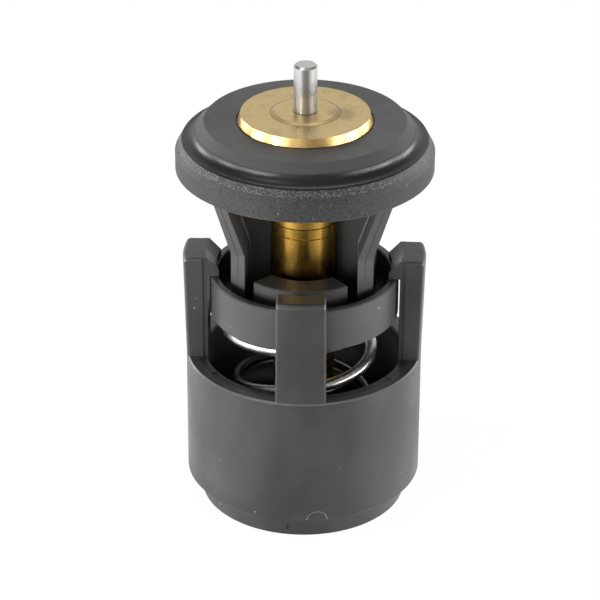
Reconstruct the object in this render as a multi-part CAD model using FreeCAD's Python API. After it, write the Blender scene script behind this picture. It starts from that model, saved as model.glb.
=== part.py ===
# Insert thermostat of a water-cooled engine, with a moulded cage and a sliding band.
# Millimetres. Z runs up the pin's axis, and z = 0 is the face of the cage's base spigot.
# The valve is shown cold: the spring holds it up against the hooks of the cage.
import FreeCAD
import Part
import math
import os

from FreeCAD import Vector

os.makedirs("parts", exist_ok=True)

# Clearances
hook_clear = 0.15          # rest gap between a hook and the top edge of the band
neck_clear = 0.03          # radial gap between the brass element and the frame round it
pin_clear = 0.03           # radial running fit of the pin in its guide
inner_clear = 0.03         # radial gap between the pieces inside the wax cup
coil_side_clear = 0.5      # radial gap between the widest coil and the band
pocket_clear = 0.45        # radial gap between the lower coils and their pocket
seat_clear = 0.02          # gap between a spring end and its seat
overlap = 0.5              # how far joined forms run into each other
margin = 1.0               # how far a cutter stands out of what it cuts

# Rubber seal round the disc: its outside sets the disc, the cage and the band
seal_r = 22.0              # outside of the rubber
seal_wall_h = 3.1          # upright part of the outer wall
seal_shoulder_w = 0.4      # soft shoulder over the wall
seal_shoulder_h = 0.75
seal_lip_w = 1.1           # from the outside in to the top edge of the lip
seal_lip_h = 1.3           # rise of the lip's bevel above the shoulder
cove_w = 2.3               # width of the cove between lip and plateau
cove_sag = 0.65            # depth of that cove
plateau_w = 1.5            # width of the bevel round the flat top
plateau_drop = 1.55        # drop of that bevel
seal_lip_r = seal_r - seal_lip_w
plateau_edge_r = seal_lip_r - cove_w

# Cage: base spigot, cylinder and ledge
body_inset = 1.45          # how much narrower than the seal the cylinder is
body_wall = 3.3            # wall of the cylinder
body_h = 23.2              # height of the cylinder above the spigot
base_step = 2.6            # step from the cylinder in to the base spigot
base_wall = 3.55           # wall of the base spigot
base_h = 4.6               # height of the base spigot
ledge_h = 7.0              # height of the spring's seat above the spigot's face
ledge_t = 2.4              # thickness of the ledge
pocket_d = 1.2             # depth of the spring pocket
port_edge = 0.15           # how far the ledge reaches in beyond the lower coils
cage_edge = 0.3            # small bevel on the cage's turned edges
rib_count = 8              # ribs under the ledge
rib_t = 1.4                # thickness of those ribs
rib_w = 3.0                # how far they reach in from the wall
rib_foot = 1.0             # height where they begin
body_r = seal_r - body_inset
bore_r = body_r - body_wall
base_r = body_r - base_step
base_bore_r = base_r - base_wall

# Cage: posts and hooks
post_count = 4
post_h = 19.0              # height of a post above the cylinder's rim
post_w_foot = 8.6          # width of a post at its foot
post_w_head = 8.3          # width of a post at its head
post_splay = 0.45          # how far the head leans out beyond the foot
post_round = 0.45          # rounding of a post's upright outer edges
post_crown = 0.85          # rounding of the head's outer edge
post_inset = 0.2           # how far the posts reach in beyond the cylinder's bore
post_step_in = 0.65        # from the bore out to where the side faces step in, beside the hook
post_step = 0.25           # depth of that step
rim_step_d = 0.2           # shallow relief in the rim's inner half, between the posts
rim_step_w = 1.7           # width of that relief
rim_step_arc = 22.0        # degrees that each relief covers
rim_step_turn = 44.0       # degrees from a post to the middle of its relief
hook_inset = 0.1           # how far short of the band's inside the nose of a hook stays
hook_len = 3.45            # from the head of a post down to the hook's underside
hook_nose_h = 1.3          # height of the nose's flat
post_in_r = bore_r - post_inset
post_step_r = bore_r + post_step_in

# Cage: mark of the cut-off sprue, at the foot of the cylinder
sprue_r = 1.8
sprue_d = 0.25             # depth of the mark
sprue_turn = -81.6         # degrees from +X

# Valve frame: band, floor and collars
valve_turn = -2.4          # degrees that the valve stands turned in its cage, seen from above
band_gap = 0.9             # radial gap between the band and the cylinder's bore
band_t = 1.35              # wall of the band
band_h = 7.7               # height of the band
band_edge = 0.22           # small bevel on the band's edges
floor_t = 1.5              # thickness of the floor inside the band
floor_drop = 5.5           # how far the floor lies below the band's top edge
collar_gap = 1.75          # from the wax cup out to the two raised collars, in front and behind
collar_t = 4.45            # thickness of a collar
collar_arc = 83.0          # degrees that a collar covers
collar_h = 7.05            # height of a collar above the floor
collar_edge = 0.2          # small bevel on its upper edges
band_r = bore_r - band_gap
band_in_r = band_r - band_t
hook_nose_r = band_in_r + hook_inset

# Brass element
guide_r = 5.85             # neck of the guide, through the disc
flange_w = 5.6             # how far the head flange stands out from the neck
flange_slant = 0.5         # how much narrower the flange is at its top
flange_h = 1.75            # from the seat in the disc to the top
flange_foot = 0.2          # bevel under the flange
flange_sink = 0.35         # depth of the flange's seat in the disc
flange_clear = 0.28        # gap round the flange in its seat
boss_slant = 0.65          # how much narrower the raised centre is at its top
boss_h = 0.3               # height of the raised centre
mouth_w = 0.15             # countersink at the pin's bore
mouth_d = 0.15
neck_len = 17.45           # from the flange to the crimp
spigot_len = 2.9           # part of the guide that stands inside the cup
cup_step = 0.5             # how much narrower its lower part is
cup_wall = 1.3
crimp_h = 2.0              # crimped band at the cup's mouth
crimp_groove = 0.12        # depth of the two crimp lines
cup_len = 36.0             # from the crimp down to the cup's end
cup_step_h = 21.0          # height of the lower part
cup_floor_t = 0.7
cup_round = 1.2
flange_r = guide_r + flange_w
cup_r = guide_r
cup_cavity_r = cup_r - cup_wall
collar_in_r = cup_r + collar_gap

# Inside the cup
washer_t = 0.75
sleeve_flange_t = 1.0
sleeve_wall = 1.3          # wall of the sleeve at its flange
sleeve_taper = 0.4         # how much narrower the sleeve's tip is
sleeve_tip_t = 2.2
sleeve_tip_gap = 7.8       # wax below the sleeve's tip

# Pin
pin_r = 2.0
pin_out = 8.4              # length of pin that shows above the boss
pin_bevel = 0.3
pin_tip_gap = 0.4          # gap between the pin and the sleeve's closed end

# Valve frame: legs and webs
leg_gap = 3.77             # from the wax cup out to a leg
leg_t = 2.53               # thickness of a leg at its foot
leg_head_t = 2.4           # thickness of a leg at the disc
leg_half_w = 8.2           # half the width of a leg's inner face
leg_slant = 2.1            # how much narrower the outer face is, on each side
leg_upright = 10.9         # length of the upright outer face above the floor
leg_upright_in = 11.4      # length of the upright inner face above the floor
leg_flare = 17.7           # degrees that the upper part leans out
web_t = 2.0                # thickness of the web between a leg and the bulb
web_round = 0.5            # rounding between a web and its leg
leg_in_x = cup_r + leg_gap
leg_x = leg_in_x + leg_t

# Valve frame: disc core
window_h = 24.7            # from the floor to the underside of the disc
disc_h = 8.9               # from the underside to the flat top of the disc
disc_foot_in = 0.7         # how much narrower than the seal the thin flange is
disc_foot_t = 0.5
disc_land_in = 2.4         # how much narrower the core inside the rubber's wall is
disc_land_h = 4.1          # height of that part of the core, above the flange
disc_hollow_in = 2.9       # from the flange's edge in to the hollow under the disc
disc_collar_w = 2.6        # wall round the neck, inside the hollow
disc_recess_d = 3.0        # depth of the hollow
disc_rib_count = 8
disc_rib_t = 1.5
disc_foot_r = seal_r - disc_foot_in
disc_land_r = seal_r - disc_land_in
disc_flat_r = plateau_edge_r - plateau_w
disc_recess_r = disc_foot_r - disc_hollow_in
disc_collar_r = guide_r + neck_clear + disc_collar_w

# Spring
wire_r = 1.05
coil_widening = 1.6        # how much wider the top coil is than the lower coils
coil_pitch = 8.8
flare_start = 21.0         # height above the seat where the coils begin to widen
flare_end = 25.5           # height above the seat where they are widest
spring_phase = 7.0         # degrees: where the bottom coil begins to climb, from the front
closed_turns = 0.9         # flat turns at each end
start_ease = 0.06          # how gently the coils begin and end their climb
top_coil_r = band_in_r - coil_side_clear - wire_r
coil_r = top_coil_r - coil_widening
pocket_r = coil_r + wire_r + pocket_clear
port_r = coil_r - wire_r - port_edge

# Heights worked out from the sizes above
rim_z = base_h + body_h
post_top_z = rim_z + post_h
hook_z = post_top_z - hook_len
band_top_z = hook_z - hook_clear
floor_z = band_top_z - floor_drop
disc_z = floor_z + window_h
flat_z = disc_z + disc_h
seat_z = flat_z - flange_sink
head_z = seat_z + flange_h + boss_h
crimp_z = seat_z - neck_len
cup_end_z = crimp_z - cup_len
spigot_z = crimp_z - spigot_len
washer_z = spigot_z - washer_t
sleeve_z = washer_z - sleeve_flange_t
pin_top_z = head_z + pin_out


def ring(points):
    """Solid of revolution about Z, from an outline of (radius, height) points."""
    corners = [Vector(r, 0, z) for r, z in points]
    outline = Part.makePolygon(corners + corners[:1])
    return Part.Face(outline).revolve(Vector(0, 0, 0), Vector(0, 0, 1), 360)


def sector(points, degrees):
    """Part of such a ring, that covers an angle on both sides of +X."""
    corners = [Vector(r, 0, z) for r, z in points]
    outline = Part.makePolygon(corners + corners[:1])
    part = Part.Face(outline).revolve(Vector(0, 0, 0), Vector(0, 0, 1), degrees)
    return turned(part, -degrees / 2)


def disc(radius, z_low, z_high):
    return Part.makeCylinder(radius, z_high - z_low, Vector(0, 0, z_low))


def plate(points, half_width):
    """Plate of an (x, z) outline, with the same thickness on both sides of y = 0."""
    corners = [Vector(x, -half_width, z) for x, z in points]
    outline = Part.makePolygon(corners + corners[:1])
    return Part.Face(outline).extrude(Vector(0, 2 * half_width, 0))


def slab(half_low, half_high, z_low, z_high, x_far):
    """Upright wedge along +X, that trims a ring to the width of a post."""
    corners = [
        Vector(0, -half_low, z_low),
        Vector(0, half_low, z_low),
        Vector(0, half_high, z_high),
        Vector(0, -half_high, z_high),
    ]
    outline = Part.makePolygon(corners + corners[:1])
    return Part.Face(outline).extrude(Vector(x_far, 0, 0))


def turned(shape, degrees):
    copy = shape.copy()
    copy.rotate(Vector(0, 0, 0), Vector(0, 0, 1), degrees)
    return copy


def round_pattern(shape, count, first=0.0):
    return [turned(shape, first + 360.0 * i / count) for i in range(count)]


def save(name, shape):
    solid = shape.removeSplitter()
    if len(solid.Solids) == 1:
        solid = solid.Solids[0]
    solid.exportStep("parts/" + name + ".step")
    box = solid.BoundBox
    print("%-15s volume %9.2f  z %6.2f to %6.2f  valid %s" % (
        name, solid.Volume, box.ZMin, box.ZMax, solid.isValid()))
    return solid


# Cage


def cage_body():
    """Cylinder and base spigot, with the ledge that carries the spring."""
    under = ledge_h - ledge_t
    shell = ring([
        (base_bore_r, 0),
        (base_r - cage_edge, 0),
        (base_r, cage_edge),
        (base_r, base_h),
        (body_r - cage_edge, base_h),
        (body_r, base_h + cage_edge),
        (body_r, rim_z - cage_edge),
        (body_r - cage_edge, rim_z),
        (bore_r + cage_edge, rim_z),
        (bore_r, rim_z - cage_edge),
        (bore_r, ledge_h + pocket_d),
        (pocket_r + pocket_d, ledge_h + pocket_d),
        (pocket_r, ledge_h),
        (port_r, ledge_h),
        (port_r, under),
        (base_bore_r, under),
    ])
    rib = plate([
        (base_bore_r + overlap, rib_foot),
        (base_bore_r, rib_foot),
        (base_bore_r - rib_w, under),
        (base_bore_r - rib_w, under + overlap),
        (base_bore_r + overlap, under + overlap),
    ], rib_t / 2)
    return shell.multiFuse(round_pattern(rib, rib_count, 180.0 / rib_count))


def cage_post():
    """One post along +X, with its hook."""
    foot = rim_z - overlap
    outer = ring([
        (post_step_r, foot),
        (body_r, foot),
        (body_r, rim_z),
        (body_r + post_splay, post_top_z),
        (post_step_r, post_top_z),
    ])
    outer = outer.makeFillet(post_crown, [e for e in outer.Edges if crown_edge(e)])
    far = body_r + post_splay + margin
    post = outer.common(slab(post_w_foot / 2, post_w_head / 2, foot, post_top_z, far))
    post = post.makeFillet(post_round, [e for e in post.Edges if upright_edge(e)])
    inner = ring([
        (post_in_r, foot),
        (post_step_r + overlap, foot),
        (post_step_r + overlap, post_top_z - post_round),
        (post_step_r, post_top_z),
        (post_in_r, post_top_z),
        (hook_nose_r, hook_z + hook_nose_h),
        (hook_nose_r, hook_z),
        (post_in_r, hook_z),
    ])
    inner_low = post_w_foot / 2 - post_step
    inner_high = post_w_head / 2 - post_step
    inner = inner.common(slab(inner_low, inner_high, foot, post_top_z, far))
    return post.fuse(inner)


def crown_edge(edge):
    """True for the outer edge on top of the ring that the posts are cut from."""
    box = edge.BoundBox
    return box.ZMin > post_top_z - 0.01 and box.XMax > body_r


def upright_edge(edge):
    """True for the upright outer edges of a post."""
    ends = [v.Point for v in edge.Vertexes]
    tall = max(p.z for p in ends) - min(p.z for p in ends) > post_h / 2
    return tall and min(math.hypot(p.x, p.y) for p in ends) > body_r - 0.01


def rim_relief():
    """Shallow step in the rim's inner half, beside each post."""
    return sector([
        (bore_r - margin, rim_z - rim_step_d),
        (bore_r + rim_step_w, rim_z - rim_step_d),
        (bore_r + rim_step_w, rim_z + margin),
        (bore_r - margin, rim_z + margin),
    ], rim_step_arc)


def sprue_mark():
    """Cutter for the half-round mark at the foot of the cylinder."""
    start = Vector(body_r - sprue_d, 0, base_h)
    return turned(Part.makeCylinder(sprue_r, sprue_d + margin, start, Vector(1, 0, 0)), sprue_turn)


def make_cage():
    body = cage_body()
    body = body.multiFuse(round_pattern(cage_post(), post_count))
    reliefs = round_pattern(rim_relief(), post_count, rim_step_turn)
    return body.cut(Part.makeCompound(reliefs + [sprue_mark()]))


# Valve frame


def leg_outer_x(z):
    """Distance of a leg's outer face from the axis, at a height z."""
    bend = floor_z + leg_upright
    return leg_x + max(0.0, z - bend) * math.tan(math.radians(leg_flare))


def leg_inner_x(z):
    """The same for the inner face, which leans more, so that the leg gets thinner."""
    bend = floor_z + leg_upright_in
    slope = (leg_outer_x(disc_z) - leg_head_t - leg_in_x) / (disc_z - bend)
    return leg_in_x + max(0.0, z - bend) * slope


def leg_section(z):
    """Outline of a leg at a height z, with slanted sides."""
    inner = leg_inner_x(z)
    outer = leg_outer_x(z)
    outer_half_w = leg_half_w - leg_slant
    corners = [
        Vector(inner, -leg_half_w, z),
        Vector(outer, -outer_half_w, z),
        Vector(outer, outer_half_w, z),
        Vector(inner, leg_half_w, z),
    ]
    return Part.makePolygon(corners + corners[:1])


def make_leg():
    """One leg along +X with its web, up into the hollow of the disc."""
    low = floor_z - floor_t / 2
    top = disc_z + disc_recess_d + overlap
    bend = floor_z + leg_upright
    bend_in = floor_z + leg_upright_in
    sections = [leg_section(z) for z in sorted([low, bend, bend_in, top])]
    leg = Part.makeLoft(sections, True, True)
    near = cup_r - overlap
    web = plate([
        (near, low),
        (leg_in_x + overlap, low),
        (leg_in_x + overlap, bend_in),
        (leg_inner_x(top) + overlap, top),
        (near, top),
    ], web_t / 2)
    both = leg.fuse(web).removeSplitter()
    both = both.makeFillet(web_round, [e for e in both.Edges if web_corner(e)])
    return both.common(disc(disc_recess_r + overlap, low, top))


def web_corner(edge):
    """True for the four edges where a web meets the inner face of its leg."""
    middle = edge.CenterOfMass
    ends = [v.Point for v in edge.Vertexes]
    tall = abs(ends[0].z - ends[-1].z) > 2 * web_round
    at_side = abs(abs(middle.y) - web_t / 2) < 0.01
    return tall and at_side and abs(middle.x - leg_inner_x(middle.z)) < 0.1


def disc_core():
    """Disc with its stepped edge, hollow underneath between radial ribs."""
    hole_r = guide_r + neck_clear
    seat_r = flange_r + flange_clear
    land_z = disc_z + disc_foot_t + disc_land_h
    shape = ring([
        (hole_r, disc_z),
        (disc_foot_r, disc_z),
        (disc_foot_r, disc_z + disc_foot_t),
        (disc_land_r, disc_z + disc_foot_t),
        (disc_land_r, land_z),
        (disc_flat_r, land_z),
        (disc_flat_r, flat_z),
        (seat_r, flat_z),
        (seat_r, seat_z),
        (hole_r, seat_z),
    ])
    ceiling = disc_z + disc_recess_d
    hollow = ring([
        (disc_collar_r, disc_z - margin),
        (disc_recess_r, disc_z - margin),
        (disc_recess_r, ceiling),
        (disc_collar_r, ceiling),
    ])
    rib = plate([
        (disc_collar_r - overlap, disc_z),
        (disc_recess_r + overlap, disc_z),
        (disc_recess_r + overlap, ceiling + overlap),
        (disc_collar_r - overlap, ceiling + overlap),
    ], disc_rib_t / 2)
    ribs = round_pattern(rib, disc_rib_count, 180.0 / disc_rib_count)
    return shape.cut(hollow).multiFuse(ribs)


def band_and_floor():
    """Sliding band, the floor that the spring presses on, and the two raised collars."""
    low = band_top_z - band_h
    band = ring([
        (band_in_r, low),
        (band_r - band_edge, low),
        (band_r, low + band_edge),
        (band_r, band_top_z - band_edge),
        (band_r - band_edge, band_top_z),
        (band_in_r + band_edge, band_top_z),
        (band_in_r, band_top_z - band_edge),
    ])
    under = floor_z - floor_t
    top = floor_z + collar_h
    out_r = collar_in_r + collar_t
    floor = disc(band_in_r + band_t / 2, under, floor_z)
    collar = sector([
        (collar_in_r, under),
        (out_r, under),
        (out_r, top - collar_edge),
        (out_r - collar_edge, top),
        (collar_in_r + collar_edge, top),
        (collar_in_r, top - collar_edge),
    ], collar_arc)
    return band.multiFuse([floor] + round_pattern(collar, 2, 90))


def make_valve_frame():
    shape = disc_core()
    legs = round_pattern(make_leg(), 2)
    shape = shape.multiFuse(legs + [band_and_floor()])
    bulb_hole = disc(cup_r + neck_clear, floor_z - floor_t - margin, seat_z - overlap)
    return turned(shape.cut(bulb_hole), valve_turn)


def make_seal_ring():
    """Rubber round the disc, with a cove between its lip and the plateau."""
    foot_z = disc_z + disc_foot_t
    land_z = foot_z + disc_land_h
    wall_top = foot_z + seal_wall_h
    shoulder_z = wall_top + seal_shoulder_h
    lip_z = shoulder_z + seal_lip_h
    plateau_z = flat_z - plateau_drop
    lip = Vector(seal_lip_r, 0, lip_z)
    plateau = Vector(plateau_edge_r, 0, plateau_z)
    chord = plateau - lip
    sideways = Vector(chord.z, 0, -chord.x)
    sideways.normalize()
    deepest = (lip + plateau) * 0.5 - sideways * cove_sag
    corners = [
        Vector(disc_flat_r, 0, flat_z),
        Vector(disc_flat_r, 0, land_z),
        Vector(disc_land_r, 0, land_z),
        Vector(disc_land_r, 0, foot_z),
        Vector(seal_r, 0, foot_z),
        Vector(seal_r, 0, wall_top),
        Vector(seal_r - seal_shoulder_w, 0, shoulder_z),
        lip,
    ]
    edges = [Part.LineSegment(a, b).toShape() for a, b in zip(corners, corners[1:])]
    edges.append(Part.Arc(lip, deepest, plateau).toShape())
    edges.append(Part.LineSegment(plateau, corners[0]).toShape())
    face = Part.Face(Part.Wire(edges))
    return face.revolve(Vector(0, 0, 0), Vector(0, 0, 1), 360)


# Wax element


def make_element_guide():
    bore = pin_r + pin_clear
    mouth = pin_r + mouth_w
    return ring([
        (bore, spigot_z),
        (spigot_r(), spigot_z),
        (spigot_r(), crimp_z),
        (guide_r, crimp_z),
        (guide_r, seat_z),
        (flange_r - flange_foot, seat_z),
        (flange_r, seat_z + flange_foot),
        (flange_r, flat_z),
        (flange_r - flange_slant, seat_z + flange_h),
        (guide_r, seat_z + flange_h),
        (guide_r - boss_slant, head_z),
        (mouth, head_z),
        (mouth, head_z - mouth_d),
        (bore, head_z - mouth_d),
    ])


def spigot_r():
    """Radius of what stands inside the cup's mouth."""
    return (cup_cavity_r + cup_r) / 2 - inner_clear


def make_wax_cup():
    mouth = spigot_r() + inner_clear
    low_r = cup_r - cup_step
    step = cup_end_z + cup_step_h
    low_line = crimp_z - crimp_h
    groove = crimp_groove
    soft = 0.3 * cup_round
    return ring([
        (0, cup_end_z),
        (low_r - cup_round, cup_end_z),
        (low_r - soft, cup_end_z + soft),
        (low_r, cup_end_z + cup_round),
        (low_r, step),
        (cup_r, step + 2 * cup_step),
        (cup_r, low_line - groove),
        (cup_r - groove, low_line),
        (cup_r, low_line + groove),
        (cup_r, crimp_z - groove),
        (cup_r - groove, crimp_z),
        (mouth, crimp_z),
        (mouth, sleeve_z),
        (cup_cavity_r, sleeve_z),
        (cup_cavity_r, cup_end_z + cup_floor_t),
        (0, cup_end_z + cup_floor_t),
    ])


def make_guard_washer():
    return ring([
        (pin_r + pin_clear, washer_z),
        (spigot_r(), washer_z),
        (spigot_r(), spigot_z),
        (pin_r + pin_clear, spigot_z),
    ])


def sleeve_end_z():
    return cup_end_z + cup_floor_t + sleeve_tip_gap


def sleeve_r():
    """Outside of the sleeve under its flange."""
    return pin_r + sleeve_wall


def make_rubber_sleeve():
    bore = pin_r + pin_clear
    tip = sleeve_end_z()
    return ring([
        (0, tip),
        (sleeve_r() - sleeve_taper, tip),
        (sleeve_r(), sleeve_z),
        (spigot_r(), sleeve_z),
        (spigot_r(), washer_z),
        (bore, washer_z),
        (bore, tip + sleeve_tip_t),
        (0, tip + sleeve_tip_t),
    ])


def make_wax_charge():
    low = cup_end_z + cup_floor_t
    tip = sleeve_end_z() - inner_clear
    return ring([
        (0, low),
        (cup_cavity_r - inner_clear, low),
        (cup_cavity_r - inner_clear, sleeve_z - inner_clear),
        (sleeve_r() + inner_clear, sleeve_z - inner_clear),
        (sleeve_r() - sleeve_taper + inner_clear, tip),
        (0, tip),
    ])


def make_piston_pin():
    low = sleeve_end_z() + sleeve_tip_t + pin_tip_gap
    return ring([
        (0, low),
        (pin_r - pin_bevel, low),
        (pin_r, low + pin_bevel),
        (pin_r, pin_top_z - pin_bevel),
        (pin_r - pin_bevel, pin_top_z),
        (0, pin_top_z),
    ])


# Spring


def smooth(share):
    share = min(1.0, max(0.0, share))
    return share * share * (3 - 2 * share)


def make_return_spring():
    """Right-handed spring with flat end turns, wider at the top."""
    low = ledge_h + wire_r + seat_clear
    high = floor_z - floor_t - wire_r - seat_clear
    climb_turns = (high - low) / coil_pitch
    turns = climb_turns + 2 * closed_turns
    steps = int(turns * 20)
    points = []
    for i in range(steps + 1):
        turn = turns * i / steps
        climb = min(1.0, max(0.0, (turn - closed_turns) / climb_turns))
        climb -= start_ease * math.sin(2 * math.pi * climb) / (2 * math.pi)
        height = low + (high - low) * climb
        share = (height - ledge_h - flare_start) / (flare_end - flare_start)
        radius = coil_r + (top_coil_r - coil_r) * smooth(share)
        angle = math.radians(spring_phase - 90 + 360 * (turn - closed_turns))
        points.append(Vector(radius * math.cos(angle), radius * math.sin(angle), height))
    curve = Part.BSplineCurve()
    curve.interpolate(points)
    path = Part.Wire(curve.toShape())
    start = curve.value(curve.FirstParameter)
    along = curve.tangent(curve.FirstParameter)[0]
    section = Part.Wire(Part.Circle(start, along, wire_r).toShape())
    return path.makePipeShell([section], True, True)


save("cage", make_cage())
save("valve_frame", make_valve_frame())
save("seal_ring", make_seal_ring())
save("element_guide", make_element_guide())
save("wax_cup", make_wax_cup())
save("guard_washer", make_guard_washer())
save("rubber_sleeve", make_rubber_sleeve())
save("wax_charge", make_wax_charge())
save("piston_pin", make_piston_pin())
save("return_spring", make_return_spring())
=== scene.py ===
import math

import bmesh
import bpy
from bpy.props import FloatProperty, FloatVectorProperty, IntProperty, PointerProperty
from mathutils import Matrix, Vector


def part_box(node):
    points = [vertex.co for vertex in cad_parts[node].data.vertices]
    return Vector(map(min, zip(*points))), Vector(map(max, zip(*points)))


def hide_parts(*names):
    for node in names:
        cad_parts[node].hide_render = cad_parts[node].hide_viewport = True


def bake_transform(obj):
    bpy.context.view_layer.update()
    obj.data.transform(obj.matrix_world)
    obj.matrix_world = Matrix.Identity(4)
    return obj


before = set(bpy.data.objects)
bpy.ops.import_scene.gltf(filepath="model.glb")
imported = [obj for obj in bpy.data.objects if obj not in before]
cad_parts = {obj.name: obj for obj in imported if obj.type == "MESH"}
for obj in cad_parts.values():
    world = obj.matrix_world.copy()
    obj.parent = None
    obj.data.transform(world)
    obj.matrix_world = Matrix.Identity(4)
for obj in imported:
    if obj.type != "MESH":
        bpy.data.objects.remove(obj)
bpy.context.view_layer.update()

bl_info = {
    "name": "Engine Thermostat",
    "version": (1, 0, 0),
    "blender": (4, 5, 0),
    "location": "View3D > Sidebar > Thermostat",
    "description": "Finishes the packed thermostat in plastic, rubber, brass and steel, and lights it",
    "category": "Object",
}

MM = 0.001

# Degrees from +X: the sprue's mark and the valve, as in the part's source, and two more marks
SPRUE_TURN = -81.6
VALVE_TURN = -2.4
PIT_TURN = -97.0
EJECTOR_TURN = 35.0

# Winding of the spring
CLOSED_TURNS = 0.9  # turns that lie flat at each end
START_TURN = -83.0  # degrees from +X to the start of the climb
START_EASE = 0.06  # how gently the climb starts and ends
FLARE_START = 21.0 * MM  # height above the seat at which the coils start to widen
FLARE_RISE = 4.5 * MM  # height over which they widen
SAG_TURNS = 1.2  # turns of the climb over which the sag comes in
SAG_END = 1.72  # turns of the climb after which it goes
SAG_FADE = 0.26  # turns over which it goes
STEPS_PER_TURN = 36

# Camera of the photograph
CAMERA_DISTANCE = 491.6 * MM
CAMERA_RISE = math.radians(27.76)
CAMERA_TURN = math.radians(1.65)  # to the right of the front
CAMERA_ROLL = math.radians(0.3)
CAMERA_SHIFT = 0.73 * MM  # to its left
CAMERA_LENS = 169.6
AIM = Vector((0, 0, 37.0 * MM))

# Where the soft lamps point, how far away they are and how wide
LAMP_AIM = Vector((0, 0, 40.0 * MM))
LAMP_DISTANCE = 0.5
LAMP_WIDTH = 0.2

# The lamps: name, degrees to the right of the front, degrees above the level, watts
LAMPS = (
    ("front", -10, 8, 0.15),
    ("left_front", -44, 5, 2.15),
    ("left", -80, 3, 1.7),
    ("left_rear", -120, 5, 0.9),
    ("right_front", 58, 5, 1.0),
    ("right", 85, 3, 1.7),
    ("right_rear", 120, 5, 0.9),
    ("top_left", -50, 60, 0.3),
    ("top_rear", 180, 60, 0.35),
)

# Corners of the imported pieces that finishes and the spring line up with
cage_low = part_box("cage")[0]
valve_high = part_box("valve_frame")[1]
head_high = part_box("element_guide")[1]
seal_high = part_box("seal_ring")[1]
cup_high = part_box("wax_cup")[1]
spring_low, spring_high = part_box("return_spring")

# Middle of the brown stain on the brass head, to the right of the pin
stain_place = (head_high.x * 0.55, -0.5 * MM, head_high.z)


# Shader maths


class Value:
    """A socket of a node tree that can stand in a Python sum."""

    def __init__(self, shader, socket):
        self.shader = shader
        self.socket = socket

    def __getitem__(self, name):
        return Value(self.shader, self.socket.node.outputs[name])

    def __add__(self, other):
        return self.shader.sum("ADD", self, other)

    def __radd__(self, other):
        return self.shader.sum("ADD", other, self)

    def __sub__(self, other):
        return self.shader.sum("SUBTRACT", self, other)

    def __rsub__(self, other):
        return self.shader.sum("SUBTRACT", other, self)

    def __mul__(self, other):
        return self.shader.sum("MULTIPLY", self, other)

    def __rmul__(self, other):
        return self.shader.sum("MULTIPLY", other, self)

    def __truediv__(self, other):
        return self.shader.sum("DIVIDE", self, other)

    def __lt__(self, other):
        return self.shader.sum("LESS_THAN", self, other)

    def __gt__(self, other):
        return self.shader.sum("GREATER_THAN", self, other)


class Shader:
    """A node tree that is filled by short calls."""

    def __init__(self, tree):
        self.tree = tree

    def node(self, kind, settings=None, inputs=None, output=0):
        """Adds a node, sets it up, fills its sockets and returns one of its outputs."""
        made = self.tree.nodes.new(kind)
        for name, setting in (settings or {}).items():
            setattr(made, name, setting)
        for name, value in (inputs or {}).items():
            if isinstance(value, Value):
                self.tree.links.new(value.socket, made.inputs[name])
            else:
                made.inputs[name].default_value = value
        return Value(self, made.outputs[output])

    def sum(self, operation, first, second):
        """Result of an arithmetic operation on two values."""
        return self.node("ShaderNodeMath", {"operation": operation}, {0: first, 1: second})

    def root(self, value):
        """Square root."""
        return self.node("ShaderNodeMath", {"operation": "SQRT"}, {0: value})

    def size(self, value):
        """The value without its sign."""
        return self.node("ShaderNodeMath", {"operation": "ABSOLUTE"}, {0: value})

    def radius(self, x, y):
        """Distance from the pin's axis."""
        return self.root(x * x + y * y)

    def step(self, value, start, end):
        """0 at start, 1 at end, and smooth between them. The end may be the lower of the two."""
        return self.node(
            "ShaderNodeMapRange",
            {"interpolation_type": "SMOOTHSTEP"},
            {"Value": value, "From Min": start, "From Max": end},
        )

    def mix(self, share, first, second):
        """Colour that goes from first to second as share goes from 0 to 1."""
        return self.node(
            "ShaderNodeMix", {"data_type": "RGBA"}, {0: share, 6: first, 7: second}, 2
        )

    def place(self):
        """Object coordinates, in metres."""
        return self.node("ShaderNodeTexCoord", output="Object")

    def split(self, vector):
        """The x, y and z of a vector."""
        parts = self.node("ShaderNodeSeparateXYZ", inputs={0: vector})
        return parts["X"], parts["Y"], parts["Z"]

    def join(self, x, y, z):
        return self.node("ShaderNodeCombineXYZ", inputs={0: x, 1: y, 2: z})

    def noise(self, vector, size, detail=2.0, roughness=0.5):
        """Cloudy pattern whose blots are about size metres wide."""
        return self.node(
            "ShaderNodeTexNoise",
            None,
            {"Vector": vector, "Scale": 1 / size, "Detail": detail, "Roughness": roughness},
        )

    def specks(self, vector, spacing, size, share):
        """Scattered round specks, 1 on a speck and 0 elsewhere."""
        cells = self.node("ShaderNodeTexVoronoi", None, {"Vector": vector, "Scale": 1 / spacing})
        pick = self.split(cells["Color"])
        return (cells < pick[1] * (size / spacing)) * (pick[0] < share)

    def facing(self, x, y, degrees):
        """x and y along a direction that many degrees from +X, and across it."""
        along = math.cos(math.radians(degrees))
        aside = math.sin(math.radians(degrees))
        return x * along + y * aside, y * along - x * aside

    def spot(self, x, y, z, degrees, height, tall=1.0):
        """Distance from a place on an upright wall, measured on the wall. tall stretches it upward."""
        out, across = self.facing(x, y, degrees)
        up = (z - height) * (1 / tall)
        return self.root(across * across + up * up) + (out < 0.0)

    def distance(self, first, second):
        """Distance between two places."""
        ends = {0: first, 1: second}
        return self.node("ShaderNodeVectorMath", {"operation": "DISTANCE"}, ends, "Value")

    def line(self, value, middle, width):
        """1 where the value lies within half a width of the middle."""
        return (value > middle - width / 2) * (value < middle + width / 2)

    def hairlines(self, x, y, z, stretch, share):
        """Short, slightly leaning scratches: across and up squeeze them on those axes."""
        across, up = stretch
        bent = self.join(x * across, y * across, (z + x * 0.35) * up)
        return self.specks(bent, 12 * MM, 0.9 * MM, share)


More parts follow.
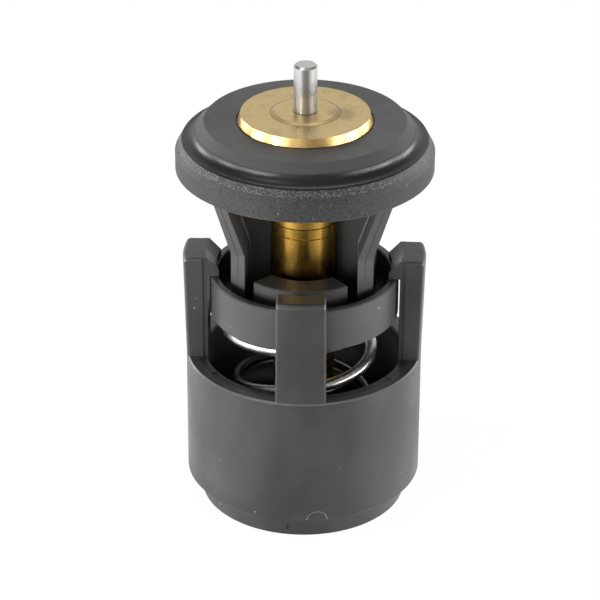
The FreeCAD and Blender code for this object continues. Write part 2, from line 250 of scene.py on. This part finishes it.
class Surface(Shader):
    """A material with one Principled surface."""

    def __init__(self, name):
        self.material = bpy.data.materials.new(name)
        self.material.use_nodes = True
        super().__init__(self.material.node_tree)
        self.surface = self.tree.nodes["Principled BSDF"]

    def set(self, **sockets):
        """Fills sockets of the surface: base_color is the socket Base Color."""
        for name, value in sockets.items():
            title = "IOR" if name == "ior" else name.replace("_", " ").title()
            socket = self.surface.inputs[title]
            if isinstance(value, Value):
                self.tree.links.new(value.socket, socket)
            else:
                socket.default_value = value

    def glow(self, strength):
        """White light of that strength."""
        return self.node("ShaderNodeEmission", None, {"Color": (1, 1, 1, 1), "Strength": strength})

    def blend(self, share, first, second):
        """Shader that goes from first to second as share goes from 0 to 1."""
        return self.node("ShaderNodeMixShader", None, {0: share, 1: first, 2: second})

    def bump(self, height, depth, strength=1.0):
        """Relief of depth metres where height goes from 0 to 1."""
        inputs = {"Height": height, "Distance": depth, "Strength": strength}
        return self.node("ShaderNodeBump", None, inputs)


def opaque(colour):
    return (*colour, 1.0)


def tint(colour, factor):
    """A lighter or darker colour."""
    return (*[min(1.0, part * factor) for part in colour], 1.0)


# Finishes


def moulded_plastic(name, colour, polish, dust, marks):
    """Black glass-filled plastic: fine grain, flow marks, dust and hairline scratches.

    marks makes the piece's own moulding marks and any painted highlights and shade, as the share
    of a bright line and of a dark one.
    """
    look = Surface(name)
    place = look.place()
    x, y, z = look.split(place)
    bright, dark = marks(look, x, y, z)
    around = look.sum("ARCTAN2", y, x)
    flow = look.noise(look.join(around * 0.02, z * 0.12, 0.0), 3.5 * MM, 3.0)
    cloud = look.noise(place, 6 * MM, 3.0)
    haze = look.step(look.noise(place, 13 * MM, 3.0), 0.38, 0.64)
    grain = look.noise(place, 0.35 * MM, 2.0)
    dots = look.specks(place, 2.1 * MM, 0.17 * MM, dust)
    crumbs = look.specks(place, 4.3 * MM, 0.32 * MM, dust * 0.5)
    upright = look.hairlines(x, y, z, (12.0, 0.9), 0.2)
    level = look.hairlines(x, y, z, (0.8, 14.0), 0.14)
    tone = cloud * 0.3 + grain * 0.2 + haze * 0.5
    shade = look.mix(tone, tint(colour, 0.6), tint(colour, 1.4))
    worn = look.mix((upright + level) * 0.35, shade, tint(colour, 3.5))
    dusty = look.mix((dots + crumbs) * 0.7, worn, (0.36, 0.36, 0.35, 1.0))
    marked = look.mix(bright, dusty, tint(colour, 8.0))
    uneven = (flow - 0.5) * 0.22 + (grain - 0.5) * 0.12
    look.set(
        base_color=look.mix(dark * 0.9, marked, tint(colour, 0.05)),
        ior=1.6,
        roughness=polish + uneven - haze * 0.06 + dots * 0.3,
        normal=look.bump(grain * 0.6 + cloud * 0.5, 0.03 * MM, 0.5),
    )
    return look.material


def cage_marks(look, x, y, z):
    """Cut sprue at the cylinder's foot with a painted highlight on its upper edge, painted highlights
    on the edges of its rim, and painted shade in a pit in the spigot.

    The inner part of the rim lies a little lower: it is dark, with a painted highlight along its step.
    """
    rim = cage_low.z + 27.8 * MM
    sprue_z = cage_low.z + 4.6 * MM
    pit_z = cage_low.z + 1.7 * MM
    radius = look.radius(x, y)
    sprue = look.spot(x, y, z, SPRUE_TURN, sprue_z)
    # Painted highlight along the upper edge of the sprue's mark.
    sprue_highlight = look.line(sprue, 1.78 * MM, 0.16 * MM) * (z > sprue_z + 0.05 * MM)
    outer = look.line(radius, 20.42 * MM, 0.36 * MM)
    inner = look.line(radius, 17.35 * MM, 0.3 * MM)
    # Painted highlights along the rim's outer and inner edges.
    rim_highlights = look.line(z, rim - 0.13 * MM, 0.3 * MM) * (outer + inner)
    lowered = look.line(z, rim - 0.1 * MM, 0.34 * MM)
    # Painted highlight along the step of the rim's lower inner part.
    step = look.line(radius, 18.97 * MM, 0.1 * MM) * lowered
    lower = look.line(radius, 18.2 * MM, 1.45 * MM) * lowered
    # Painted shade: a small dark spot for the inside of a pit.
    pit = look.spot(x, y, z, PIT_TURN, pit_z, 2.4) < 0.25 * MM
    return sprue_highlight + (rim_highlights + step) * 0.2, pit + lower * 0.6


def valve_marks(look, x, y, z):
    """Parting lines down the legs' slanted sides, and the round print of an ejector in the band."""
    legs_low = valve_high.z - 26.4 * MM
    legs_high = valve_high.z - 8.9 * MM
    print_z = valve_high.z - 31.2 * MM
    across = look.facing(x, y, VALVE_TURN)[1]
    nx, ny, nz = look.split(look.node("ShaderNodeNewGeometry", output="Normal"))
    sideways = look.size(look.facing(nx, ny, VALVE_TURN)[1]) > 0.5
    seam = look.line(look.size(across), 7.15 * MM, 0.2 * MM)
    legs = (z > legs_low) * (z < legs_high) * sideways
    ejector = look.line(look.spot(x, y, z, EJECTOR_TURN, print_z), 1.3 * MM, 0.14 * MM)
    inside = look.radius(x, y) < 15.2 * MM
    return ejector * inside * 0.2, seam * legs


def moulded_rubber(colour, lip, plateau):
    """Seal rubber: dark and glossy in the cove, pale and speckled on the bevels and the wall.

    lip and plateau are the radii between which the cove lies.
    """
    look = Surface("seal rubber")
    place = look.place()
    x, y, z = look.split(place)
    radius = look.radius(x, y)
    past_plateau = look.step(radius, plateau - 0.12 * MM, plateau + 0.1 * MM)
    past_lip = look.step(radius, lip - 0.1 * MM, lip + 0.1 * MM)
    cove = past_plateau * (1 - past_lip)
    cloud = look.noise(place, 4 * MM, 3.0)
    grain = look.noise(place, 0.3 * MM, 3.0, 0.65)
    pale = look.step(grain, 0.42, 0.66) * (1 - cove)
    dots = look.specks(place, 1.9 * MM, 0.22 * MM, 0.34)
    base = look.mix(cloud, tint(colour, 0.75), tint(colour, 1.35))
    bloom = look.mix(pale * 0.55, base, tint(colour, 3.8))
    top = look.step(radius, plateau, plateau - 0.2 * MM)
    upper = look.mix(top, bloom, tint(colour, 2.9))
    crumbs = look.line(radius, lip + 0.15 * MM, 0.9 * MM) * look.step(grain, 0.5, 0.58)
    crumbly = look.mix(crumbs * 0.55, upper, tint(colour, 8.0))
    deep = look.mix(cove, crumbly, tint(colour, 0.45))
    look.set(
        base_color=look.mix(dots * 0.55, deep, (0.3, 0.3, 0.3, 1.0)),
        ior=1.4,
        roughness=0.5 - cove * 0.2 + (cloud - 0.5) * 0.12 + pale * 0.15,
        normal=look.bump(grain, 0.06 * MM, 0.6),
    )
    return look.material


def turned_brass(colour, edge, rim, under, foot):
    """Brass head with the rings of a lathe tool, dull stains, a brown one and a painted dark reflection
    round its boss.

    Its slanted side, beyond the radius rim, has the colour edge, and below the height foot it has
    the colour under.
    """
    look = Surface("turned brass")
    place = look.place()
    x, y, z = look.split(place)
    radius = look.radius(x, y)
    lathe = look.join(radius, 0.0, z)
    rings = look.noise(lathe, 0.16 * MM, 2.0)
    bands = look.noise(lathe, 1.1 * MM, 2.0)
    cloud = look.noise(place, 3.5 * MM, 4.0, 0.6)
    grain = look.noise(place, 0.4 * MM, 2.0)
    stain = look.step(cloud, 0.5, 0.72)
    head = look.mix(bands * 0.5 + rings * 0.5, tint(colour, 0.84), tint(colour, 1.1))
    head = look.mix(look.step(radius, rim - 0.1 * MM, rim), head, opaque(edge))
    dull = look.mix(stain * 0.6, head, tint(colour, 0.62))
    beside = look.distance(place, stain_place)
    brown = look.step(beside + (cloud - 0.5) * 5 * MM, 3.4 * MM, 1.2 * MM)
    dull = look.mix(brown * 0.55, dull, tint(colour, 0.4))
    # Painted dark reflection: a dark ring at the edge of the raised boss, and a fainter dark line
    # further out.
    turned = look.line(radius, 5.9 * MM, 0.16 * MM) + look.line(radius, 7.0 * MM, 0.1 * MM) * 0.4
    dull = look.mix(turned * 0.75, dull, tint(colour, 0.25))
    look.set(
        base_color=look.mix(look.step(z, foot - 0.3 * MM, foot), opaque(under), dull),
        metallic=1.0,
        roughness=0.32 + (rings - 0.5) * 0.25 + (grain - 0.5) * 0.15 + stain * 0.12,
        normal=look.bump(rings, 0.02 * MM, 0.5),
    )
    return look.material


def drawn_brass(colour):
    """Deep golden brass of the cup: faint drawing lines, brown streaks, and darker toward its foot."""
    look = Surface("drawn brass")
    place = look.place()
    x, y, z = look.split(place)
    lines = look.noise(look.join(x, y, z * 0.05), 0.3 * MM, 2.0)
    streaks = look.noise(look.join(x, y, z * 0.12), 3 * MM, 2.0)
    cloud = look.noise(place, 2.2 * MM, 3.0)
    brown = look.step(streaks, 0.48, 0.7) * 0.5
    golden = look.mix(cloud, tint(colour, 0.85), tint(colour, 1.2))
    mouth = look.line(z, cup_high.z, 0.5 * MM)
    lower = look.step(z, cup_high.z - 1.5 * MM, cup_high.z - 8.5 * MM)
    streaky = look.mix(brown, golden, tint(colour, 0.45))
    look.set(
        base_color=look.mix(mouth * 0.6 + lower * 0.65, streaky, tint(colour, 0.2)),
        metallic=1.0,
        roughness=0.2 + (lines - 0.5) * 0.14 + cloud * 0.1,
        normal=look.bump(lines, 0.012 * MM, 0.4),
    )
    return look.material


def bright_steel(name, colour, shade_top):
    """Steel with fine marks, darkened below a given height by painted shade."""
    look = Surface(name)
    place = look.place()
    x, y, z = look.split(place)
    marks = look.noise(place, 0.2 * MM, 2.0)
    cloud = look.noise(place, 2 * MM, 2.0)
    unshaded = look.mix(cloud, tint(colour, 0.85), tint(colour, 1.1))
    # Painted shade: darker below the given height, for the lower coils lying in the cage's shadow.
    shaded = look.step(z, shade_top, shade_top - 2 * MM)
    look.set(
        base_color=look.mix(shaded * 0.95, unshaded, tint(colour, 0.08)),
        metallic=1.0,
        roughness=0.26 + (marks - 0.5) * 0.1 + cloud * 0.06,
        normal=look.bump(marks, 0.01 * MM, 0.4),
    )
    return look.material


def plain_soft(name, colour, polish, size):
    """Finish of a hidden soft piece, with clouds about size metres wide and a fine grain."""
    look = Surface(name)
    place = look.place()
    cloud = look.noise(place, size, 3.0)
    grain = look.noise(place, size / 8, 2.0)
    look.set(
        base_color=look.mix(cloud, tint(colour, 0.85), tint(colour, 1.15)),
        roughness=polish + (grain - 0.5) * 0.2,
        normal=look.bump(grain, 0.02 * MM, 0.5),
    )
    return look.material


def dress(node, material):
    """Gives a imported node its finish."""
    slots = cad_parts[node].data.materials
    slots.clear()
    slots.append(material)


def smooth(share):
    """0 up to 0, 1 from 1 on, and smooth between them."""
    share = min(1.0, max(0.0, share))
    return share * share * (3 - 2 * share)


# Settings


class ThermostatColours(bpy.types.PropertyGroup):
    """Colours that a user may change."""

    plastic: FloatVectorProperty(
        name="Plastic", description="Moulded plastic of the cage", subtype="COLOR", size=3, min=0, max=1,
        default=(0.038, 0.038, 0.038))
    valve: FloatVectorProperty(
        name="Valve plastic", description="Moulded plastic of the valve frame", subtype="COLOR", size=3,
        min=0, max=1, default=(0.04, 0.04, 0.04))
    rubber: FloatVectorProperty(
        name="Rubber", description="Seal round the disc", subtype="COLOR", size=3, min=0, max=1,
        default=(0.021, 0.021, 0.021))
    head: FloatVectorProperty(
        name="Brass head", description="Turned head of the wax element", subtype="COLOR", size=3, min=0,
        max=1, default=(0.61, 0.455, 0.215))
    edge: FloatVectorProperty(
        name="Brass edge", description="Slanted side of the brass head", subtype="COLOR", size=3, min=0,
        max=1, default=(0.6, 0.4, 0.15))
    cup: FloatVectorProperty(
        name="Brass cup", description="Drawn cup of the wax element", subtype="COLOR", size=3, min=0,
        max=1, default=(0.68, 0.4, 0.08))
    steel: FloatVectorProperty(
        name="Steel", description="Pin and spring", subtype="COLOR", size=3, min=0, max=1,
        default=(0.58, 0.57, 0.55))


class ThermostatSizes(bpy.types.PropertyGroup):
    """Sizes of the pieces that this file makes."""

    wire: FloatProperty(
        name="Wire", description="Thickness of the spring's wire", subtype="DISTANCE", unit="LENGTH",
        min=0.0005, max=0.003, default=0.0021)
    coil: FloatProperty(
        name="Lower coils", description="Radius of the lower coils, to the middle of the wire",
        subtype="DISTANCE", unit="LENGTH", min=0.005, max=0.02, default=0.01185)
    pitch: FloatProperty(
        name="Pitch", description="Rise of one turn of the spring", subtype="DISTANCE", unit="LENGTH",
        min=0.003, max=0.02, default=0.0088)
    sag: FloatProperty(
        name="Sag", description="How much lower the lower coils lie than in an even winding",
        subtype="DISTANCE", unit="LENGTH", min=0, max=0.003, default=0.0018)
    sides: IntProperty(name="Wire sides", description="Facets round the wire", min=6, max=32, default=16)
    dust: FloatProperty(
        name="Dust", description="Share of the dust spots that show", subtype="FACTOR", min=0, max=1,
        default=0.34)


# Operators


class THERMOSTAT_OT_cage(bpy.types.Operator):
    """Finish the cage with its posts and hooks"""

    bl_idname = "thermostat.cage"
    bl_label = "Cage"

    def execute(self, context):
        colour = context.scene.thermostat_colours.plastic
        dust = context.scene.thermostat_sizes.dust
        dress("cage", moulded_plastic("cage plastic", colour, 0.42, dust, cage_marks))
        return {"FINISHED"}


class THERMOSTAT_OT_valve_frame(bpy.types.Operator):
    """Finish the valve frame: disc, legs, floor and band"""

    bl_idname = "thermostat.valve_frame"
    bl_label = "Valve frame"

    def execute(self, context):
        colour = context.scene.thermostat_colours.valve
        dust = context.scene.thermostat_sizes.dust
        dress("valve_frame", moulded_plastic("valve plastic", colour, 0.47, dust, valve_marks))
        return {"FINISHED"}


class THERMOSTAT_OT_seal(bpy.types.Operator):
    """Finish the rubber round the disc"""

    bl_idname = "thermostat.seal"
    bl_label = "Seal"

    def execute(self, context):
        colour = context.scene.thermostat_colours.rubber
        lip = seal_high.x - 1.1 * MM
        plateau = seal_high.x - 3.4 * MM
        dress("seal_ring", moulded_rubber(colour, lip, plateau))
        return {"FINISHED"}


class THERMOSTAT_OT_element(bpy.types.Operator):
    """Finish the wax element: brass head, cup and steel pin"""

    bl_idname = "thermostat.element"
    bl_label = "Wax element"

    def execute(self, context):
        colours = context.scene.thermostat_colours
        rim = head_high.x - 0.5 * MM
        foot = head_high.z - 2.1 * MM
        dress("element_guide", turned_brass(colours.head, colours.edge, rim, colours.cup, foot))
        dress("wax_cup", drawn_brass(colours.cup))
        dress("piston_pin", bright_steel("pin steel", colours.steel, 0.0))
        return {"FINISHED"}


class THERMOSTAT_OT_inside(bpy.types.Operator):
    """Finish the sleeve, the washer and the wax inside the cup"""

    bl_idname = "thermostat.inside"
    bl_label = "Inside the cup"

    def execute(self, context):
        dress("rubber_sleeve", plain_soft("sleeve rubber", (0.03, 0.03, 0.03), 0.6, 2 * MM))
        dress("guard_washer", plain_soft("white sealing plastic", (0.72, 0.7, 0.66), 0.4, 2 * MM))
        dress("wax_charge", plain_soft("wax with copper powder", (0.42, 0.24, 0.13), 0.55, MM))
        return {"FINISHED"}


class THERMOSTAT_OT_spring(bpy.types.Operator):
    """Make the return spring, from its seat in the cage up to the valve"""

    bl_idname = "thermostat.spring"
    bl_label = "Return spring"

    def execute(self, context):
        sizes = context.scene.thermostat_sizes
        half = sizes.wire / 2
        low = spring_low.z + half
        high = spring_high.z - half
        spring = self.wire(context, self.centre_line(sizes, low, high), sizes)
        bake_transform(spring)
        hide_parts("return_spring")
        return {"FINISHED"}

    def centre_line(self, sizes, low, high):
        """Points along the middle of the wire, from the seat in the cage up to the valve.

        The coils widen near the top, and below the middle they sag under an even winding.
        """
        top = (spring_high.x - spring_low.x) / 2 - sizes.wire / 2
        climb_turns = (high - low) / sizes.pitch
        turns = climb_turns + 2 * CLOSED_TURNS
        steps = int(turns * STEPS_PER_TURN)
        points = []
        for i in range(steps + 1):
            climbed = turns * i / steps - CLOSED_TURNS
            climb = min(1.0, max(0.0, climbed / climb_turns))
            climb -= START_EASE * math.sin(2 * math.pi * climb) / (2 * math.pi)
            sag = smooth(climbed / SAG_TURNS) * (1 - smooth((climbed - SAG_END) / SAG_FADE))
            height = low + (high - low) * climb - sizes.sag * sag
            widening = smooth((height - spring_low.z - FLARE_START) / FLARE_RISE)
            radius = sizes.coil + (top - sizes.coil) * widening
            angle = math.radians(START_TURN + 360 * climbed)
            points.append((radius * math.cos(angle), radius * math.sin(angle), height))
        return points

    def wire(self, context, points, sizes):
        """Round wire along the points, as a smooth mesh."""
        curve = bpy.data.curves.new("spring_wire", "CURVE")
        curve.dimensions = "3D"
        curve.bevel_depth = sizes.wire / 2
        curve.bevel_resolution = sizes.sides // 4
        curve.use_fill_caps = True
        path = curve.splines.new("POLY")
        path.points.add(len(points) - 1)
        for point, place in zip(path.points, points):
            point.co = (*place, 1.0)
        drawn = bpy.data.objects.new("spring_path", curve)
        context.collection.objects.link(drawn)
        context.view_layer.update()
        shown = drawn.evaluated_get(context.evaluated_depsgraph_get())
        mesh = bpy.data.meshes.new_from_object(shown)
        bpy.data.objects.remove(drawn)
        bpy.data.curves.remove(curve)
        mesh.name = "spring_coils"
        for face in mesh.polygons:
            face.use_smooth = True
        steel = context.scene.thermostat_colours.steel
        # Painted shade on the coils below this height, deep in the cage.
        shade_top = cage_low.z + 25.9 * MM
        mesh.materials.clear()
        mesh.materials.append(bright_steel("spring steel", steel, shade_top))
        spring = bpy.data.objects.new("spring_coils", mesh)
        context.collection.objects.link(spring)
        return spring


class THERMOSTAT_OT_stage(bpy.types.Operator):
    """Add the floor, the studio light and the camera of the photograph"""

    bl_idname = "thermostat.stage"
    bl_label = "Stage"

    def execute(self, context):
        scene = context.scene
        self.floor(context)
        self.world(scene)
        for name, turn, rise, power in LAMPS:
            self.lamp(context, name, turn, rise, power)
        self.camera(context)
        scene.view_settings.view_transform = "Standard"
        return {"FINISHED"}

    def floor(self, context):
        """Pale floor that takes the part's shadow and shows white to the camera.

        What shines in the part mirrors it as bright, but less so in front.
        """
        mesh = bpy.data.meshes.new("floor")
        shape = bmesh.new()
        bmesh.ops.create_circle(shape, cap_ends=True, segments=64, radius=4.0)
        shape.to_mesh(mesh)
        shape.free()
        floor = bpy.data.objects.new("floor", mesh)
        floor.location.z = -0.02 * MM
        context.collection.objects.link(floor)
        look = Surface("pale floor")
        rays = look.node("ShaderNodeLightPath")
        place = look.place()
        x, y, z = look.split(place)
        front = look.step(y / look.root(x * x + y * y + 0.0001), -0.45, -1.0)
        grain = look.noise(place, 10 * MM, 2.0)
        look.set(
            base_color=look.mix(grain, (0.78, 0.78, 0.78, 1.0), (0.8, 0.8, 0.8, 1.0)),
            roughness=0.8,
        )
        plain = Value(look, look.surface.outputs[0])
        white = look.glow(1.03)
        mirrored = look.glow(1 - front * 0.72)
        shown = look.blend(0.06, white, plain)
        lit = look.blend(rays["Is Glossy Ray"], plain, mirrored)
        end = look.blend(rays["Is Camera Ray"], lit, shown)
        look.tree.links.new(end.socket, look.tree.nodes["Material Output"].inputs["Surface"])
        mesh.materials.append(look.material)

    def world(self, scene):
        """White to the camera and dim to the part, with softly bright areas for its reflections."""
        world = bpy.data.worlds.new("studio")
        world.use_nodes = True
        scene.world = world
        look = Shader(world.node_tree)
        rays = look.node("ShaderNodeLightPath")
        seen = look.sum("MAXIMUM", rays["Is Camera Ray"], rays["Is Transmission Ray"])
        x, y, z = look.split(look.node("ShaderNodeTexCoord", output="Generated"))
        behind = look.step(y, 0.3, 0.9) * 0.62
        above = look.step(z, 0.6, 0.95) * 0.35
        ahead = look.step(y, -0.3, -0.8) * look.step(z, 0.12, 0.35) * look.step(z, 0.8, 0.6) * 0.4
        mirrored = rays["Is Glossy Ray"] * (behind + above + ahead)
        strength = seen + (1 - seen) * (0.16 + mirrored)
        back = world.node_tree.nodes["Background"]
        back.inputs["Color"].default_value = (1, 1, 1, 1)
        look.tree.links.new(strength.socket, back.inputs["Strength"])

    def lamp(self, context, name, turn, rise, power):
        """Round soft lamp that faces the part."""
        across = math.cos(math.radians(rise))
        away = Vector((
            math.sin(math.radians(turn)) * across,
            -math.cos(math.radians(turn)) * across,
            math.sin(math.radians(rise)),
        ))
        light = bpy.data.lights.new(name, "AREA")
        light.shape = "DISK"
        light.size = LAMP_WIDTH
        light.energy = power
        lamp = bpy.data.objects.new(name, light)
        lamp.location = LAMP_AIM + away * LAMP_DISTANCE
        lamp.rotation_mode = "QUATERNION"
        lamp.rotation_quaternion = (-away).to_track_quat("-Z", "Y")
        context.collection.objects.link(lamp)

    def camera(self, context):
        """The photograph's camera: above the front, and a little to the right."""
        level = math.cos(CAMERA_RISE)
        back = Vector((
            math.sin(CAMERA_TURN) * level,
            -math.cos(CAMERA_TURN) * level,
            math.sin(CAMERA_RISE),
        ))
        side = Vector((math.cos(CAMERA_TURN), math.sin(CAMERA_TURN), 0))
        data = bpy.data.cameras.new("camera")
        data.sensor_width = 36
        data.lens = CAMERA_LENS
        data.clip_start = 0.01
        data.clip_end = 20
        camera = bpy.data.objects.new("camera", data)
        facing = (-back).to_track_quat("-Z", "Y").to_matrix()
        camera.rotation_mode = "QUATERNION"
        camera.rotation_quaternion = (facing @ Matrix.Rotation(CAMERA_ROLL, 3, "Z")).to_quaternion()
        camera.location = AIM + back * CAMERA_DISTANCE - side * CAMERA_SHIFT
        context.collection.objects.link(camera)
        context.scene.camera = camera


class THERMOSTAT_PT_panel(bpy.types.Panel):
    """Settings and steps of the thermostat"""

    bl_label = "Thermostat"
    bl_idname = "THERMOSTAT_PT_panel"
    bl_space_type = "VIEW_3D"
    bl_region_type = "UI"
    bl_category = "Thermostat"

    def draw(self, context):
        column = self.layout.column()
        for group in (context.scene.thermostat_colours, context.scene.thermostat_sizes):
            for name in group.__annotations__:
                column.prop(group, name)
        for step in STEPS:
            column.operator(step.bl_idname)


STEPS = (
    THERMOSTAT_OT_cage,
    THERMOSTAT_OT_valve_frame,
    THERMOSTAT_OT_seal,
    THERMOSTAT_OT_element,
    THERMOSTAT_OT_inside,
    THERMOSTAT_OT_spring,
    THERMOSTAT_OT_stage,
)
CLASSES = (ThermostatColours, ThermostatSizes, *STEPS, THERMOSTAT_PT_panel)


def register():
    for each in CLASSES:
        bpy.utils.register_class(each)
    bpy.types.Scene.thermostat_colours = PointerProperty(type=ThermostatColours)
    bpy.types.Scene.thermostat_sizes = PointerProperty(type=ThermostatSizes)


def unregister():
    del bpy.types.Scene.thermostat_sizes
    del bpy.types.Scene.thermostat_colours
    for each in reversed(CLASSES):
        bpy.utils.unregister_class(each)


def main():
    """Runs every step."""
    register()
    bpy.ops.thermostat.cage()
    bpy.ops.thermostat.valve_frame()
    bpy.ops.thermostat.seal()
    bpy.ops.thermostat.element()
    bpy.ops.thermostat.inside()
    bpy.ops.thermostat.spring()
    bpy.ops.thermostat.stage()


if __name__ == "__main__":
    main()
